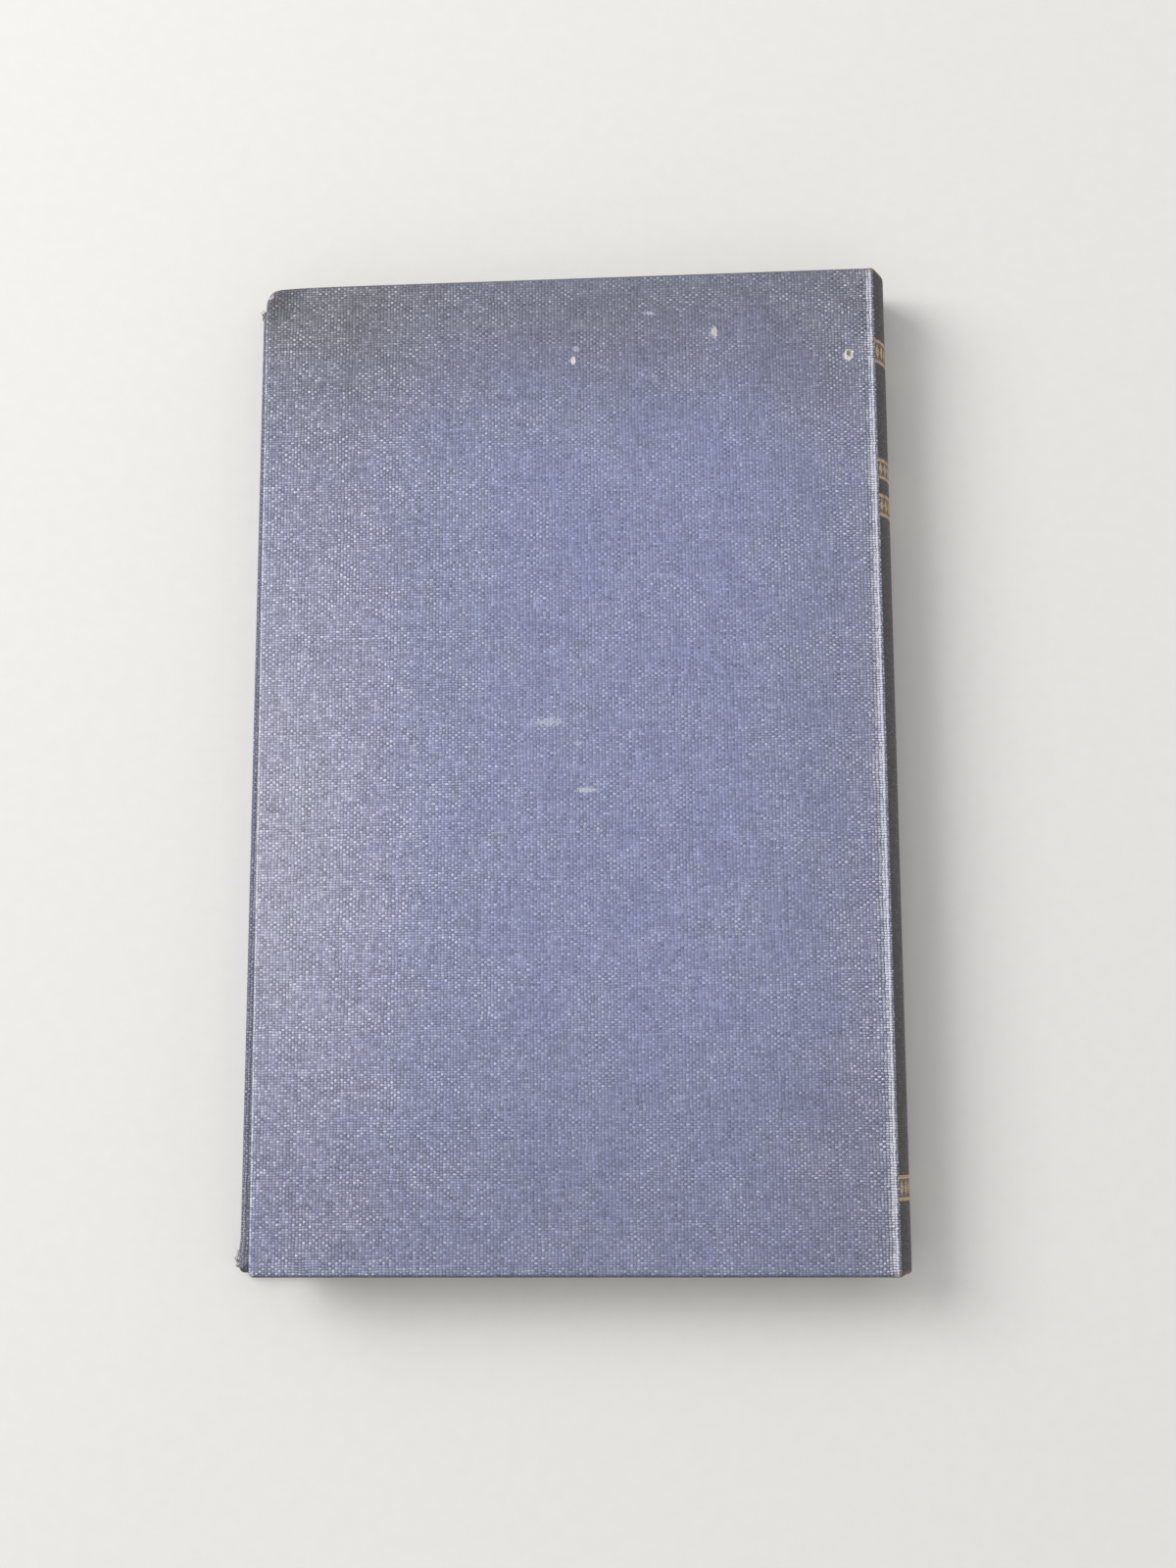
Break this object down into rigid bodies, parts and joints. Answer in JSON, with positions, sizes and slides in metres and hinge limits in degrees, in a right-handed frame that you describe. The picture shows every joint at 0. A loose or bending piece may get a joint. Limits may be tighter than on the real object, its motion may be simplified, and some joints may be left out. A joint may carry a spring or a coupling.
{
  "type": "hardback book",
  "caption": "Cloth-bound hardback with a rounded, leaning spine, closed joints and two covers that open on their joints.",
  "frame": {"origin": "middle of the bottom of the closed book, on the outside of its front cover", "axes": "+X from the fore edge to the spine, +Y from the tail to the head, +Z from the front cover up to the rear cover"},
  "size_m": [0.1342, 0.204, 0.015],
  "materials": {
    "leaves": "toned cream leaf edges",
    "endpaper": "plain toned endpaper",
    "mull": "open cotton weave",
    "lining_paper": "brown kraft",
    "headband": "woven cotton bead",
    "inlay_card": "plain card",
    "spine_cloth": "dark blue book cloth, rubbed",
    "cover_cloth": "blue-grey book cloth, rubbed",
    "board": "grey binder's board"
  },
  "bodies": {
    "book_block": {"text_block": "leaves", "front_flyleaf": "endpaper", "rear_flyleaf": "endpaper", "spine_mull": "mull", "spine_lining": "lining_paper", "head_band": "headband", "tail_band": "headband", "spine_inlay": "inlay_card", "spine_cloth": "spine_cloth"},
    "front_cover": {"front_board": "board", "front_cloth": "cover_cloth", "front_mull": "mull", "front_pastedown": "endpaper"},
    "rear_cover": {"rear_board": "board", "rear_cloth": "cover_cloth", "rear_mull": "mull", "rear_pastedown": "endpaper"}
  },
  "joints": [
    {"name": "front_hinge", "type": "hinge", "parent": "book_block", "child": "front_cover", "pos_m": [0.06233, 0, 0.00158], "axis": [0, -1, 0], "range_deg": [0, 179.9]},
    {"name": "rear_hinge", "type": "hinge", "parent": "book_block", "child": "rear_cover", "pos_m": [0.06484, 0, 0.01342], "axis": [0, 1, 0], "range_deg": [0, 179.9]}
  ]
}
